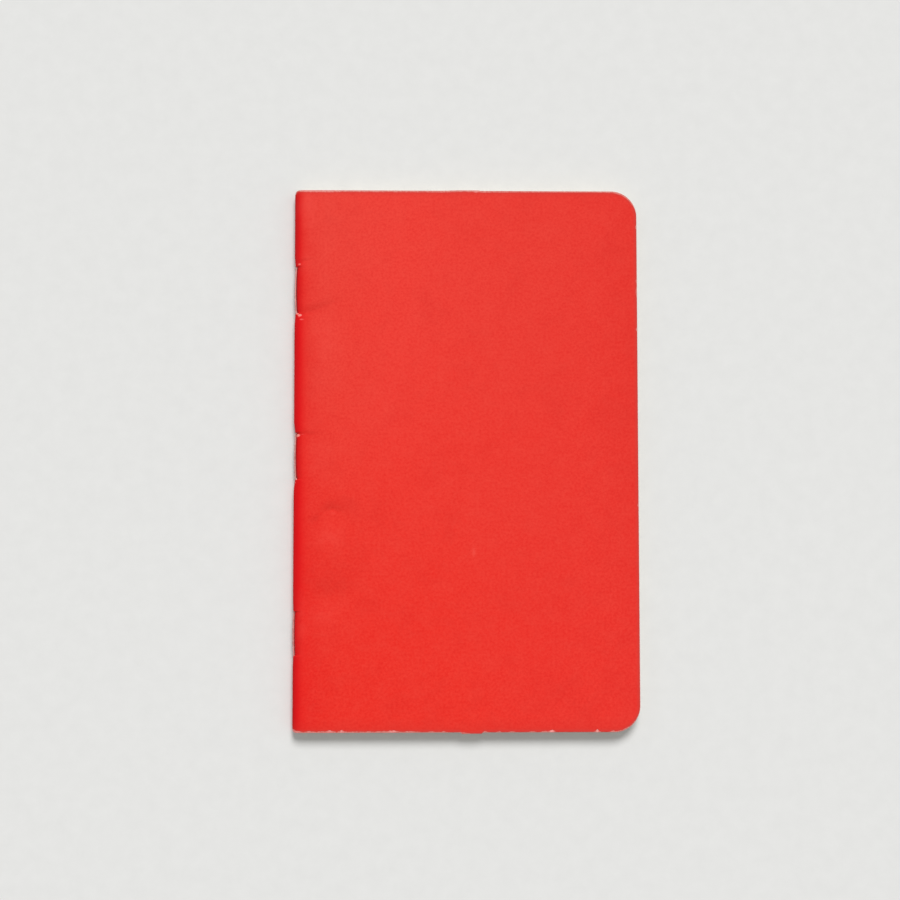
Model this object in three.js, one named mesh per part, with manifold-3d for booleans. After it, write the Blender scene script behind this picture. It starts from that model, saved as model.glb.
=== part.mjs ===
// A pocket memo book: a card cover folded once round twelve folded sheets, held on the fold by three wire
// staples and trimmed in one cut. Each half of the cover and each leaf of a sheet is its own solid, so that
// the book opens at any page. Millimetres, +Z up. X runs from the spine to the fore edge and Y up the page.
import * as THREE from "three";
import { mergeVertices } from "three/addons/utils/BufferGeometryUtils.js";
import Module from "manifold-3d";

const wasm = await Module();
wasm.setup();

// Page size and the shape of the trimmed edge
const pageWidth = 89;
const pageHeight = 140;
const foreCornerRadius = 6.75;
const spineCornerRadius = 1;

// The small step that a nick in the trimming blade leaves on the foot of the whole stack
const nibFromSpine = 42.85;
const nibWidth = 5.9;
const nibDepth = 0.33;
const nibRamp = 0.5;

// Paper and card
const sheetCount = 12;
const paperThickness = 0.1;
const coverThickness = 0.3;
const sheetAir = 0.015;
const coverAir = 0.03;
const foreEdgeAir = 0.01;

// Wire staples: wire, crown, and the points that are folded in at the centre of the book
const wireDiameter = 0.5;
const wireBendRadius = 0.3;
const crownLength = 12.5;
const pointLength = 4.5;
const wireAir = 0.05;
const legAir = 0.1;

// Where each staple's middle lies, how deep the ends of its crown are pressed into the spine, and how far
// the middle of each crown bows out again
const headToStaple = 26.1;
const footToStaple = 25.15;
const middleStapleRise = 0.7;
const topDepth = 0.2;
const middleDepth = 0.3;
const bottomDepth = 0.1;
const crownBow = 0.2;
const staples = {
  top: { y: pageHeight / 2 - headToStaple, depth: topDepth },
  middle: { y: middleStapleRise, depth: middleDepth },
  bottom: { y: footToStaple - pageHeight / 2, depth: bottomDepth },
};

// Each crown lies in a groove of its own, a little longer than it is, in the middle of a shallow dent that
// runs out along the spine
const grooveMargin = 0.15;
const grooveRun = 0.6;
const dentRun = 3.5;

// Facets on a quarter turn, along a crown, over a groove's or a dent's run, on a bend of wire and round it
const foldSteps = 6;
const cornerSteps = 7;
const crownSteps = 6;
const runSteps = 3;
const bendSteps = 3;
const wireSides = 8;

// Sizes that follow. Sections are drawn from the fold line, which lies on the outside of the spine at half
// the thickness of the book: x goes into the book and z is the height above or below the fold line.
const wireRadius = wireDiameter / 2;
const stapleList = Object.values(staples);
const deepestDent = Math.max(...stapleList.map((s) => s.depth)) + wireDiameter + wireAir;
const proudest = Math.max(0, ...stapleList.map((s) => crownBow - s.depth));
const innerFoldRadius = wireRadius + wireAir;
const sheetPitch = paperThickness + sheetAir;
const outerFoldRadius = innerFoldRadius + paperThickness + (sheetCount - 1) * sheetPitch;
const foldCentreX = deepestDent + coverThickness + coverAir + outerFoldRadius;
const halfThickness = outerFoldRadius + coverAir + coverThickness;
const foreEdgePitch =
  (outerFoldRadius - foreEdgeAir - paperThickness) / Math.max(sheetCount - 1, 1);
const legOffset = crownLength / 2 - wireRadius;
const bowReach = legOffset - wireBendRadius;
const overLength = pageHeight + 2 * nibDepth + 2;
const overWidth = pageWidth + 1;
const overDepth = 2 * halfThickness + 2;

const redCard = new THREE.MeshStandardMaterial({ color: 0xe53a2e, roughness: 0.82, metalness: 0 });
const whitePaper = new THREE.MeshStandardMaterial({ color: 0xf1ede2, roughness: 0.9, metalness: 0 });
const steelWire = new THREE.MeshStandardMaterial({ color: 0xb9b4ae, roughness: 0.38, metalness: 1 });

// A closed geometry as a solid that can be cut
function solidFrom(geometry) {
  geometry.deleteAttribute("normal");
  geometry.deleteAttribute("uv");
  const merged = mergeVertices(geometry, 1e-5);
  return new wasm.Manifold(
    new wasm.Mesh({
      numProp: 3,
      vertProperties: new Float32Array(merged.attributes.position.array),
      triVerts: new Uint32Array(merged.index.array),
    }),
  );
}

// A solid as a named mesh of the book
function pieceFrom(name, solid, material) {
  const cut = solid.getMesh();
  const geometry = new THREE.BufferGeometry();
  geometry.setAttribute("position", new THREE.BufferAttribute(cut.vertProperties, 3));
  geometry.setIndex(new THREE.BufferAttribute(cut.triVerts, 1));
  geometry.computeVertexNormals();
  const piece = new THREE.Mesh(geometry, material);
  piece.name = name;
  return piece;
}

// A section in x and z carried straight along the spine
function alongSpine(section, length) {
  const geometry = new THREE.ExtrudeGeometry(new THREE.Shape(section), {
    depth: length,
    bevelEnabled: false,
  });
  geometry.rotateX(Math.PI / 2);
  geometry.translate(0, length / 2, 0);
  return geometry;
}

// A closed loft through sections of equal count, each a loop in x and z at its own y
function loftThrough(stations) {
  const count = stations[0].section.length;
  const positions = [];
  const faces = [];
  for (const { y, section } of stations) {
    for (const point of section) positions.push(point.x, y, point.y);
  }
  for (let row = 0; row < stations.length - 1; row += 1) {
    for (let i = 0; i < count; i += 1) {
      const a = row * count + i;
      const b = row * count + ((i + 1) % count);
      faces.push(a, b + count, b, a, a + count, b + count);
    }
  }
  const last = (stations.length - 1) * count;
  for (const [a, b, c] of THREE.ShapeUtils.triangulateShape(stations[0].section, [])) {
    faces.push(a, b, c);
    faces.push(last + a, last + c, last + b);
  }
  const geometry = new THREE.BufferGeometry();
  geometry.setAttribute("position", new THREE.Float32BufferAttribute(positions, 3));
  geometry.setIndex(faces);
  return geometry;
}

// One quarter of a fold, from its crest on the fold line to where the page leaves it. It has its centre at
// foldCentreX; reach is its size along x and rise its size along z.
function foldQuarter(reach, rise) {
  const points = [];
  for (let i = 0; i <= foldSteps; i += 1) {
    const angle = (i / foldSteps) * (Math.PI / 2);
    points.push(
      new THREE.Vector2(foldCentreX - reach * Math.cos(angle), rise * Math.sin(angle)),
    );
  }
  return points;
}

// A bent strip above the fold line: out along its inner face, back along its outer face
function bentStrip(reach, rise, thickness, foreHeight) {
  return [
    ...foldQuarter(reach - thickness, rise - thickness),
    new THREE.Vector2(overWidth, foreHeight - thickness),
    new THREE.Vector2(overWidth, foreHeight),
    ...foldQuarter(reach, rise).reverse(),
  ];
}

// The same loop below the fold line, still running the same way round
function turnedBelow(section) {
  return section.map((point) => new THREE.Vector2(point.x, -point.y)).reverse();
}

// A quarter round about a centre, starting at a number of quarter turns from +X
function quarterRound(x, y, radius, startQuarter, steps) {
  const points = [];
  for (let i = 0; i <= steps; i += 1) {
    const angle = (startQuarter + i / steps) * (Math.PI / 2);
    points.push(new THREE.Vector2(x + radius * Math.cos(angle), y + radius * Math.sin(angle)));
  }
  return points;
}

// The single cut that trims the cover and all the leaves together
function trimBlock() {
  const foot = -pageHeight / 2;
  const head = pageHeight / 2;
  const nibEnd = nibFromSpine + nibWidth;
  const fore = foreCornerRadius;
  const spine = spineCornerRadius;
  const outline = [
    new THREE.Vector2(nibFromSpine, foot),
    new THREE.Vector2(nibFromSpine + nibRamp, foot - nibDepth),
    new THREE.Vector2(nibEnd - nibRamp, foot - nibDepth),
    new THREE.Vector2(nibEnd, foot),
    ...quarterRound(pageWidth - fore, foot + fore, fore, -1, cornerSteps),
    ...quarterRound(pageWidth - fore, head - fore, fore, 0, cornerSteps),
    ...quarterRound(spine, head - spine, spine, 1, cornerSteps),
    ...quarterRound(spine, foot + spine, spine, 2, cornerSteps),
  ];
  const block = new THREE.ExtrudeGeometry(new THREE.Shape(outline), {
    depth: overDepth,
    bevelEnabled: false,
  });
  block.translate(0, 0, -overDepth / 2);
  return solidFrom(block);
}

// The holes that the staple legs make through the fold, as one cutter
function legHoles() {
  const width = wireDiameter + 2 * legAir;
  const depth = wireDiameter + 2 * wireAir;
  const length = foldCentreX + 1;
  let holes = null;
  for (const { y } of stapleList) {
    for (const side of [-1, 1]) {
      const box = new THREE.BoxGeometry(length, width, depth);
      box.translate(length / 2 - 1, y + side * legOffset, 0);
      const hole = solidFrom(box);
      holes = holes ? holes.add(hole) : hole;
    }
  }
  return holes;
}

// The middle of the wire, from the spine inwards, at a distance along the crown from its middle
function crownX(staple, along) {
  const share = THREE.MathUtils.clamp(along / bowReach, -1, 1);
  return staple.depth + wireRadius - crownBow * (1 - share * share);
}

// How far the crest of the cover is pressed in at a height along the spine
function crestAt(y) {
  let crest = 0;
  for (const staple of stapleList) {
    const past = Math.abs(y - staple.y) - (crownLength / 2 + grooveMargin);
    const floor = crownX(staple, y - staple.y) + wireRadius + wireAir;
    const groove = floor * (1 - THREE.MathUtils.smoothstep(past, 0, grooveRun));
    const dent = staple.depth * (1 - THREE.MathUtils.smoothstep(past, 0, dentRun));
    crest = Math.max(crest, groove, dent);
  }
  return crest;
}

// Where the cover's section changes along the spine
function coverHeights() {
  const heights = [-overLength / 2, overLength / 2];
  for (const { y } of stapleList) {
    for (let i = 0; i <= crownSteps; i += 1) {
      heights.push(y - bowReach + (2 * bowReach * i) / crownSteps);
    }
    const grooveEnd = crownLength / 2 + grooveMargin;
    heights.push(y - grooveEnd, y + grooveEnd);
    for (let i = 1; i <= runSteps; i += 1) {
      const groove = grooveEnd + (grooveRun * i) / runSteps;
      const dent = grooveEnd + grooveRun + ((dentRun - grooveRun) * i) / runSteps;
      heights.push(y - dent, y - groove, y + groove, y + dent);
    }
  }
  return heights.sort((a, b) => a - b);
}

function coverHalf(below) {
  const stations = coverHeights().map((y) => {
    const reach = foldCentreX - crestAt(y);
    const strip = bentStrip(reach, halfThickness, coverThickness, halfThickness);
    return { y, section: below ? turnedBelow(strip) : strip };
  });
  return solidFrom(loftThrough(stations));
}

// One leaf: ring 0 is the innermost sheet. The leaves fan a little, so that the open centre of the fold
// closes towards the fore edge and the outermost leaf lies level under the cover.
function leaf(ring, below) {
  const radius = innerFoldRadius + paperThickness + ring * sheetPitch;
  const foreHeight = foreEdgeAir + paperThickness + ring * foreEdgePitch;
  const strip = bentStrip(radius, radius, paperThickness, foreHeight);
  return solidFrom(alongSpine(below ? turnedBelow(strip) : strip, overLength));
}

// The line of a staple's wire: a point folded in, a leg through the fold, the crown, and back again
class WireLine extends THREE.Curve {
  constructor(staple) {
    super();
    const { y } = staple;
    const endX = crownX(staple, bowReach);
    const bend = wireBendRadius;
    const half = [
      new THREE.Vector2(foldCentreX, legOffset - pointLength),
      ...quarterRound(foldCentreX - bend, bowReach, bend, 0, bendSteps),
      ...quarterRound(endX + bend, bowReach, bend, 1, bendSteps),
    ];
    const crown = [];
    for (let i = 1; i < crownSteps; i += 1) {
      const along = bowReach - (2 * bowReach * i) / crownSteps;
      crown.push(new THREE.Vector2(crownX(staple, along), along));
    }
    const back = half.map((point) => new THREE.Vector2(point.x, -point.y)).reverse();
    this.stations = [...half, ...crown, ...back].map((p) => new THREE.Vector3(p.x, y + p.y, 0));
  }

  getPoint(t, target = new THREE.Vector3()) {
    const along = t * (this.stations.length - 1);
    const i = Math.min(Math.floor(along + 1e-6), this.stations.length - 2);
    return target.lerpVectors(this.stations[i], this.stations[i + 1], along - i);
  }

  getPointAt(u, target) {
    return this.getPoint(u, target);
  }

  getTangentAt(u, target = new THREE.Vector3()) {
    const i = Math.round(u * (this.stations.length - 1));
    const here = this.stations[i];
    const before = this.stations[Math.max(i - 1, 0)];
    const after = this.stations[Math.min(i + 1, this.stations.length - 1)];
    target.subVectors(after, here).normalize();
    return target.add(here.clone().sub(before).normalize()).normalize();
  }
}

function stapleWire(staple) {
  const line = new WireLine(staple);
  const ring = [];
  for (let i = 0; i < wireSides; i += 1) {
    const angle = ((i + 0.5) / wireSides) * Math.PI * 2;
    ring.push(new THREE.Vector2(wireRadius * Math.cos(angle), wireRadius * Math.sin(angle)));
  }
  const wire = new THREE.ExtrudeGeometry(new THREE.Shape(ring), {
    steps: line.stations.length - 1,
    extrudePath: line,
  });
  return solidFrom(wire);
}

// Assembly
const book = new THREE.Group();
book.position.set((proudest - pageWidth) / 2, 0, halfThickness);
const trim = trimBlock();
const holes = legHoles();
const cutToBook = (solid) => solid.intersect(trim).subtract(holes);

book.add(pieceFrom("front_cover", cutToBook(coverHalf(false)), redCard));
book.add(pieceFrom("back_cover", cutToBook(coverHalf(true)), redCard));

for (let i = 0; i < 2 * sheetCount; i += 1) {
  const below = i >= sheetCount;
  const ring = below ? i - sheetCount : sheetCount - 1 - i;
  const name = `leaf_${String(i + 1).padStart(2, "0")}`;
  book.add(pieceFrom(name, cutToBook(leaf(ring, below)), whitePaper));
}

for (const [place, staple] of Object.entries(staples)) {
  book.add(pieceFrom(`staple_${place}`, stapleWire(staple), steelWire));
}

const notebook = new THREE.Group();
notebook.add(book);

export default notebook;
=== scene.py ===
"""Looks of the pocket memo book: its worn red card cover, its ruled leaves and its wire staples, made
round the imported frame. The frame, the studio and the node trees are in metres, and the rest in
millimetres."""
import math
from collections import namedtuple

import bpy
import numpy as np
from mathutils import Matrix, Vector


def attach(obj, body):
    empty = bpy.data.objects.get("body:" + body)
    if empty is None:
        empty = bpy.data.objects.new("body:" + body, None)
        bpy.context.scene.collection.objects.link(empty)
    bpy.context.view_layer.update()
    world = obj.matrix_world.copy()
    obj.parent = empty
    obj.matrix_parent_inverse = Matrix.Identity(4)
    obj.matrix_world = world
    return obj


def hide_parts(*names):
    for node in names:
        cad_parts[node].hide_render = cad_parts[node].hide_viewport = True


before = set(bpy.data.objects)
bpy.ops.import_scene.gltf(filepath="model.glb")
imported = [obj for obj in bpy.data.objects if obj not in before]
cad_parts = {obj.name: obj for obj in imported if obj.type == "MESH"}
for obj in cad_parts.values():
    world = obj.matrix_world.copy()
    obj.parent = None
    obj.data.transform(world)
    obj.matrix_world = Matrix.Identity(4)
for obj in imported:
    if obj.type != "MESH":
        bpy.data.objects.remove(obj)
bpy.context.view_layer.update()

# Sizes of the book. U runs from the fold line to the fore edge, V up the page from its middle, and W up
# from the middle of the thickness. The folds turn round the fold centre, at that distance along U.
PAGE_WIDTH = 89.0
PAGE_HEIGHT = 140.0
HALF_PAGE = PAGE_HEIGHT / 2
HALF_THICKNESS = 1.995
FORE_RADIUS = 6.75
SPINE_RADIUS = 1.0
FOLD_LINE_X = -44.45
FOLD_CENTRE = 2.845
CARD = 0.30

# The leaves: the innermost fold's radius, its height at the fore edge, and how much each next sheet adds
PAPER = 0.10
SHEETS = 12
FIRST_FOLD = 0.40
SHEET_PITCH = 0.115
FORE_FIRST = 0.11
FORE_PITCH = 0.1362
TRIM_SCATTER = 0.06
PAGE_WAVE = 0.01
RULE_PITCH = 7.0
RULE_START = 63.5

# The nick of the trimming blade, at the foot and, fainter, at the head, and the distances from the edge
# between which it fades
NIB_FROM = 42.85
NIB_TO = 48.75
NIB_DEPTH = 0.33
NIB_RAMP = 0.5
NIB_FADE = (0.6, 3.0)
HEAD_NIB_DEPTH = 0.12
HEAD_STEP_FROM = 47.95
HEAD_STEP_TO = 48.3

# Staples: the middle of each, the depth of its crown's ends in the spine, the bow of its middle, and how
# much of each end of the crown the card covers
WIRE = 0.5
WIRE_BEND = 0.3
WIRE_AIR = 0.05
CROWN = 12.5
POINT = 4.5
GROOVE_RUN = 0.4
DENT_RUN = 3.5
Staple = namedtuple("Staple", "middle depth bow covered")
STAPLES = {
    "top": Staple(middle=43.9, depth=0.2, bow=0.2, covered=0.3),
    "middle": Staple(middle=0.7, depth=0.3, bow=0.2, covered=0.3),
    "bottom": Staple(middle=-44.85, depth=0.1, bow=0.2, covered=0.75),
}

# Small heights of the cover's faces
FRONT_RISE = 0.08
NOSE_DROP = 0.06
BACK_WAVE = 0.012
EDGE_ROUND = 0.09

# Meshes of the card and the paper. The finest step is used in a narrow zone along the cut edges. The
# columns begin to follow the rounded corners a little before them. An edge sharper than the angle for its
# material, in degrees, is kept sharp. Rows and columns stand closer together along the rim, at the ends
# of the crowns, across the creases and at one rubbed speck.
NOSE_STEPS = 22
CARD_SHARP = 38.0
PAPER_SHARP = 40.0
EDGE_STEP = 0.028
EDGE_ZONE = 1.2
CORNER_LEAD = 4.0
RIM_STEPS = (0, 0.03, 0.08, 0.15, 0.3, 0.6, 1.0)
CROWN_STEPS = (-0.6, -0.25, 0, 0.15, 0.3, 0.45, 0.6, 1.0, 1.8, 2.6, 3.5)
CREASED_HEIGHTS = ((34.0, 42.0), (49.5, 53.1), (4.6, 8.0), (-18.5, -11.5), (-25.7, -22.4))
SPECK_COLUMNS = [45.6, 45.9, 46.2, 46.45, 46.7, 47.0, 47.3]

# Where the card's white core shows along the trimmed edges: (along the edge, half width, depth)
FOOT_CHIPS = [
    (0.7, 2.2, 0.26), (4.3, 0.8, 0.16), (7.6, 1.4, 0.1), (9.7, 1.5, 0.28), (12.8, 1.2, 0.27),
    (16.5, 1.6, 0.08), (19.5, 1.0, 0.1), (23.4, 1.8, 0.14), (25.6, 2.2, 0.3), (30.0, 1.9, 0.18),
    (35.4, 0.9, 0.2), (38.7, 0.7, 0.22), (43.9, 1.5, 0.27), (49.3, 0.8, 0.2), (52.9, 0.8, 0.2),
    (56.2, 1.0, 0.2), (61.4, 1.2, 0.2), (64.8, 1.7, 0.26), (66.3, 1.1, 0.62), (77.9, 0.7, 0.5),
    (81.9, 0.8, 0.28),
]
HEAD_CHIPS = [(47.2, 1.0, 0.14), (82.0, 1.6, 0.06)]
FORE_CHIPS = [
    (60.6, 0.6, 0.25), (46.4, 0.6, 0.25), (43.6, 1.5, 0.25), (33.7, 0.6, 0.3), (-12.0, 0.5, 0.2),
]

# Torn and rubbed spots near the spine: (U, V, half width, half height, strength)
SCUFFS = [
    (0.8, 37.65, 0.5, 0.3, 0.85), (1.45, 37.25, 0.7, 0.42, 0.9), (1.2, 36.75, 0.45, 0.35, 0.6),
    (1.95, 36.15, 0.85, 0.36, 0.66), (1.3, 50.6, 0.65, 0.36, 0.7),
    (1.0, 6.05, 0.85, 0.48, 0.95), (2.4, 6.25, 1.1, 0.3, 0.53), (0.5, -6.1, 0.28, 0.4, 0.7),
    (0.25, 17.9, 0.2, 0.35, 0.7), (0.22, -22.2, 0.2, 0.3, 0.6),
]

# The red near the head and near the foot, at distances from the fold line, in display numbers from 0 to
# 255. The head has faded more, and the spine least of all; the darkest stops, on the spine's round, are
# partly painted shade where the round turns away from the light.
HEAD_REDS = [
    (0.0, (194, 6, 16)), (0.6, (210, 8, 18)), (1.4, (226, 19, 22)), (2.4, (229, 44, 36)),
    (3.4, (231, 51, 42)), (5.2, (232, 57, 47)), (7.8, (234, 62, 51)), (11.7, (235, 62, 51)),
    (27.0, (238, 60, 50)), (44.3, (235, 57, 47)), (66.2, (233, 55, 45)), (79.0, (232, 52, 43)),
    (86.5, (229, 48, 39)),
]
FOOT_REDS = [
    (0.0, (200, 6, 14)), (0.6, (216, 8, 17)), (1.4, (229, 15, 19)), (2.4, (231, 28, 23)),
    (3.4, (234, 31, 24)), (5.2, (234, 35, 27)), (7.8, (235, 39, 29)), (11.7, (237, 42, 31)),
    (27.0, (238, 44, 33)), (44.3, (238, 45, 34)), (66.2, (236, 46, 37)), (79.0, (237, 47, 38)),
    (86.5, (234, 46, 38)),
]

# Soft dips that the staples pull into the cover: the lowest point (U, V), the reach along U, the reach
# towards the head and towards the foot, the depth, and the tilt and bend of the line of lowest points
DIPS = [
    (6.5, 39.0, 5.0, 1.2, 6.0, 0.22, 0.28, 0.0),
    (2.6, 51.1, 2.6, 0.8, 3.0, 0.08, 0.0, 0.0),
    (4.2, 6.3, 2.8, 0.8, 5.0, 0.12, -0.1, 0.0),
    (10.0, -13.3, 4.0, 1.5, 5.5, 0.24, 0.0, -0.12),
    (9.8, -35.4, 5.0, 2.4, 4.5, 0.2, 0.1, 0.0),
    (9.0, 15.0, 5.0, 5.0, 9.0, 0.08, 0.0, 0.0),
    (9.5, 58.0, 6.0, 4.0, 8.0, 0.06, 0.0, 0.0),
    (62.0, 24.0, 16.0, 12.0, 18.0, 0.08, 0.0, 0.0),
    (56.0, -46.0, 18.0, 9.0, 12.0, 0.08, 0.0, 0.0),
]

# Places where the red is painted lighter or darker, mostly the light and shade of the front's small
# waves, with one rubbed speck: (U, V, reach along U, reach along V, amount)
PAINTED_SHADING_AND_SPECK = [
    (9.4, -19.8, 2.9, 3.4, 0.32), (8.2, -40.4, 2.7, 3.2, 0.3), (8.2, 33.0, 4.0, 5.4, 0.3),
    (7.6, 22.0, 3.6, 7.0, 0.2), (6.8, 0.5, 3.2, 4.6, 0.2), (8.0, 62.0, 4.0, 7.0, 0.2),
    (12.6, -11.6, 3.4, 1.7, -0.55), (8.8, -12.2, 1.8, 1.4, -0.3), (10.6, -32.2, 5.0, 2.6, -0.4),
    (5.2, 38.8, 3.6, 1.0, -0.5), (3.4, 6.1, 1.8, 0.7, -0.5), (5.5, -15.6, 2.6, 1.1, -0.35),
    (3.2, -30.0, 1.6, 3.0, -0.25), (46.45, -24.05, 0.4, 0.9, 1.1), (10.2, -13.9, 1.0, 0.45, 0.5),
    (5.9, -15.4, 0.8, 0.7, -0.5), (3.9, -23.0, 0.9, 0.6, -0.4), (3.2, 67.5, 2.0, 6.0, 0.75),
    (2.6, 51.5, 1.6, 2.2, 0.4), (3.8, 28.0, 1.8, 5.0, -0.35), (2.2, -42.0, 1.5, 9.0, 0.3),
]

# Creases in the outer face, each a line of points (U, V) with its width and depth
CREASES = [
    ([(1.5, 37.3), (4.6, 38.2), (7.6, 39.4), (10.0, 40.6)], 0.5, 0.07),
    ([(1.4, 50.9), (3.6, 51.7), (6.2, 52.4)], 0.45, 0.08),
    ([(1.8, 6.1), (3.4, 6.6), (5.2, 6.2)], 0.45, 0.08),
    ([(10.2, -13.0), (8.8, -13.5), (7.6, -14.6), (6.2, -16.4)], 0.42, 0.06),
    ([(10.2, -13.0), (11.6, -13.8), (13.0, -15.8)], 0.42, 0.06),
]

# The studio: the share of the light that comes from all round, and how bright that looks; the soft
# window's height and breadth in degrees, its direction and its gain; the floor; and the camera, at the
# photograph's own place, with its turn in degrees
AROUND = 0.42
AROUND_SEEN = 0.8
WINDOW_HEIGHT = 52.0
WINDOW_BREADTH = 26.0
WINDOW_SIDE = 0.17
WINDOW_HEAD = 0.985
WINDOW_GAIN = 1.03
FLOOR_HALF = 30.0
FLOOR_DROP = 0.00003
CAMERA_PLACE = (-0.01606, -0.03399, 0.48593)
CAMERA_TURN = (4.301, -1.414, -0.039)
CAMERA_LENS = 75.0


def smooth(value, low, high):
    """0 below low, 1 above high, and a soft step between them."""
    t = np.clip((value - low) / (high - low), 0.0, 1.0)
    return t * t * (3.0 - 2.0 * t)


# The cut edges of the book

def foot_nib(u):
    """How far the foot edge stands out at a distance from the fold line."""
    rise = np.clip((u - NIB_FROM) / NIB_RAMP, 0, 1)
    fall = np.clip((NIB_TO - u) / NIB_RAMP, 0, 1)
    return NIB_DEPTH * np.minimum(rise, fall)


def head_nib(u):
    """The same nick at the head: a slow rise that ends in a small step."""
    step = np.clip((HEAD_STEP_TO - u) / (HEAD_STEP_TO - HEAD_STEP_FROM), 0, 1)
    return HEAD_NIB_DEPTH * smooth(u, 38.0, 43.0) * step


def fore_reach(v):
    """How far the page reaches from the fold line at a height on the page."""
    past = np.clip(np.abs(v) - (HALF_PAGE - FORE_RADIUS), 0, FORE_RADIUS)
    return PAGE_WIDTH - FORE_RADIUS + np.sqrt(FORE_RADIUS**2 - past**2)


def spine_start(v):
    """Where the rounded corner of the spine begins at a height on the page."""
    past = np.clip(np.abs(v) - (HALF_PAGE - SPINE_RADIUS), 0, SPINE_RADIUS)
    return SPINE_RADIUS - np.sqrt(SPINE_RADIUS**2 - past**2)


def rim_distance(u, v):
    """The distance from a point on the page, before the nick moves it, to the nearest cut edge."""
    rim = np.minimum(HALF_PAGE - np.abs(v), PAGE_WIDTH - u)
    past_fore = u - (PAGE_WIDTH - FORE_RADIUS)
    for past_u, radius in ((past_fore, FORE_RADIUS), (SPINE_RADIUS - u, SPINE_RADIUS)):
        past_v = np.abs(v) - (HALF_PAGE - radius)
        corner = radius - np.hypot(past_u, past_v)
        rim = np.where((past_u > 0) & (past_v > 0), np.minimum(rim, corner), rim)
    return np.maximum(rim, 0.0)


def moved_by_nick(u, v):
    """V with the nick's step, which dies out a short way in from the edge."""
    foot = foot_nib(u) * (1 - smooth(v + HALF_PAGE, *NIB_FADE))
    head = head_nib(u) * (1 - smooth(HALF_PAGE - v, *NIB_FADE))
    return v - foot + head


# The spine of the cover

def crown_line(staple, along):
    """The middle of the wire, from the fold line inwards, at a distance from the crown's middle."""
    share = np.clip(along / (CROWN / 2 - WIRE / 2 - WIRE_BEND), -1, 1)
    return staple.depth + WIRE / 2 - staple.bow * (1 - share * share)


def crest(v):
    """How far the crest of the cover is pressed in at a height along the spine."""
    deepest = np.zeros_like(v)
    for staple in STAPLES.values():
        past = np.abs(v - staple.middle) - (CROWN / 2 - staple.covered)
        floor = crown_line(staple, v - staple.middle) + WIRE / 2 + WIRE_AIR
        groove = floor * (1 - smooth(past, 0, GROOVE_RUN))
        dent = staple.depth * (1 - smooth(past, 0, DENT_RUN))
        deepest = np.maximum(deepest, np.maximum(groove, dent))
    return deepest


def lip_over_wire(v):
    """How far the pressed card leans back over a staple's crown, so that part of the wire is hidden."""
    lip = np.zeros_like(v)
    for staple in STAPLES.values():
        along = 1 - smooth(np.abs(v - staple.middle), CROWN / 2 - 1.2, CROWN / 2 - 0.2)
        lip = np.maximum(lip, along * (0.05 + staple.depth / 3))
    return lip


# The small heights of the cover

def crease_depth(u, v, points, width, depth):
    """A fold line pressed into the card, which fades out along its length."""
    best = np.full_like(u, np.inf)
    along = np.zeros_like(u)
    count = len(points) - 1
    for i in range(count):
        start, end = np.array(points[i]), np.array(points[i + 1])
        run = end - start
        t = np.clip(((u - start[0]) * run[0] + (v - start[1]) * run[1]) / run.dot(run), 0, 1)
        away = np.hypot(u - start[0] - t * run[0], v - start[1] - t * run[1])
        along = np.where(away < best, (i + t) / count, along)
        best = np.minimum(best, away)
    return depth * (1 - 0.8 * along) * np.exp(-((best / width) ** 2))


def dips(u, v):
    """How far the cover, and the leaves with it, sink below their flat place."""
    depth = np.zeros_like(u)
    for at_u, at_v, reach_u, reach_up, reach_down, deep, tilt, bend in DIPS:
        past_u = u - at_u
        past_v = v - at_v - tilt * past_u - bend * past_u**2
        reach_v = np.where(past_v > 0, reach_up, reach_down)
        depth += deep * np.exp(-((past_u / reach_u) ** 2) - (past_v / reach_v) ** 2)
    return depth


def front_relief(u, v, outside):
    """The small heights of the front cover round its flat place; only its outer face is creased."""
    height = FRONT_RISE - dips(u, v) - NOSE_DROP * (1 - smooth(u, 1.0, 12.0))
    if outside:
        for points, width, depth in CREASES:
            height -= crease_depth(u, v, points, width, depth)
    return height * smooth(u, 0.0, 1.5)


def back_relief(u, v, outside):
    """The back cover lies on its whole face, so both its faces show only slow waves."""
    return BACK_WAVE * np.sin(u / 9.0 + 1.0) * np.sin(v / 13.0) * smooth(u, 3.0, 12.0)


# The wear of the cover

def chip_profile(at, chips):
    """The depth of the chips along one edge; each is deep over its middle and falls off to its ends."""
    depth = np.zeros_like(at)
    for middle, half, deep in chips:
        share = np.clip(np.abs(at - middle) / half, 0, 1)
        depth = np.maximum(depth, deep * (1 - smooth(share, 0.2, 1.0)))
    return depth


def head_line(u):
    """How wide the white core shows along the head: widest near the spine, past the corner."""
    wide = 0.34 + 0.18 * smooth(u, 0.6, 2.6)
    return wide - 0.08 * smooth(u, 6.0, 16.0) - 0.1 * smooth(u, 40.0, 72.0)


def bare_depth(u, v):
    """How wide the white core shows at the cut edge nearest to a point."""
    to_fore = PAGE_WIDTH - u
    head = head_line(u) + chip_profile(u, HEAD_CHIPS)
    foot = 0.12 + 0.16 * (1 - smooth(u, 28.0, 44.0)) + chip_profile(u, FOOT_CHIPS)
    fore = 0.12 + chip_profile(v, FORE_CHIPS)
    bare = np.where(to_fore < HALF_PAGE - np.abs(v), fore, np.where(v > 0, head, foot))
    corner = smooth(u, PAGE_WIDTH - FORE_RADIUS - 1, PAGE_WIDTH - FORE_RADIUS + 1)
    for side, wide in ((1, 0.42), (-1, 0.27)):
        end = smooth(side * v, HALF_PAGE - FORE_RADIUS - 1, HALF_PAGE - 1)
        bare = np.maximum(bare, corner * end * wide)
    return bare


def scuff_strength(u, v):
    """1 in the middle of each torn or rubbed spot, and 0 away from them."""
    strength = np.zeros_like(u)
    for at_u, at_v, half_u, half_v, amount in SCUFFS:
        away = np.hypot((u - at_u) / half_u, (v - at_v) / half_v)
        strength = np.maximum(strength, amount * np.clip(1.5 - away, 0, 1))
    return strength


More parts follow.
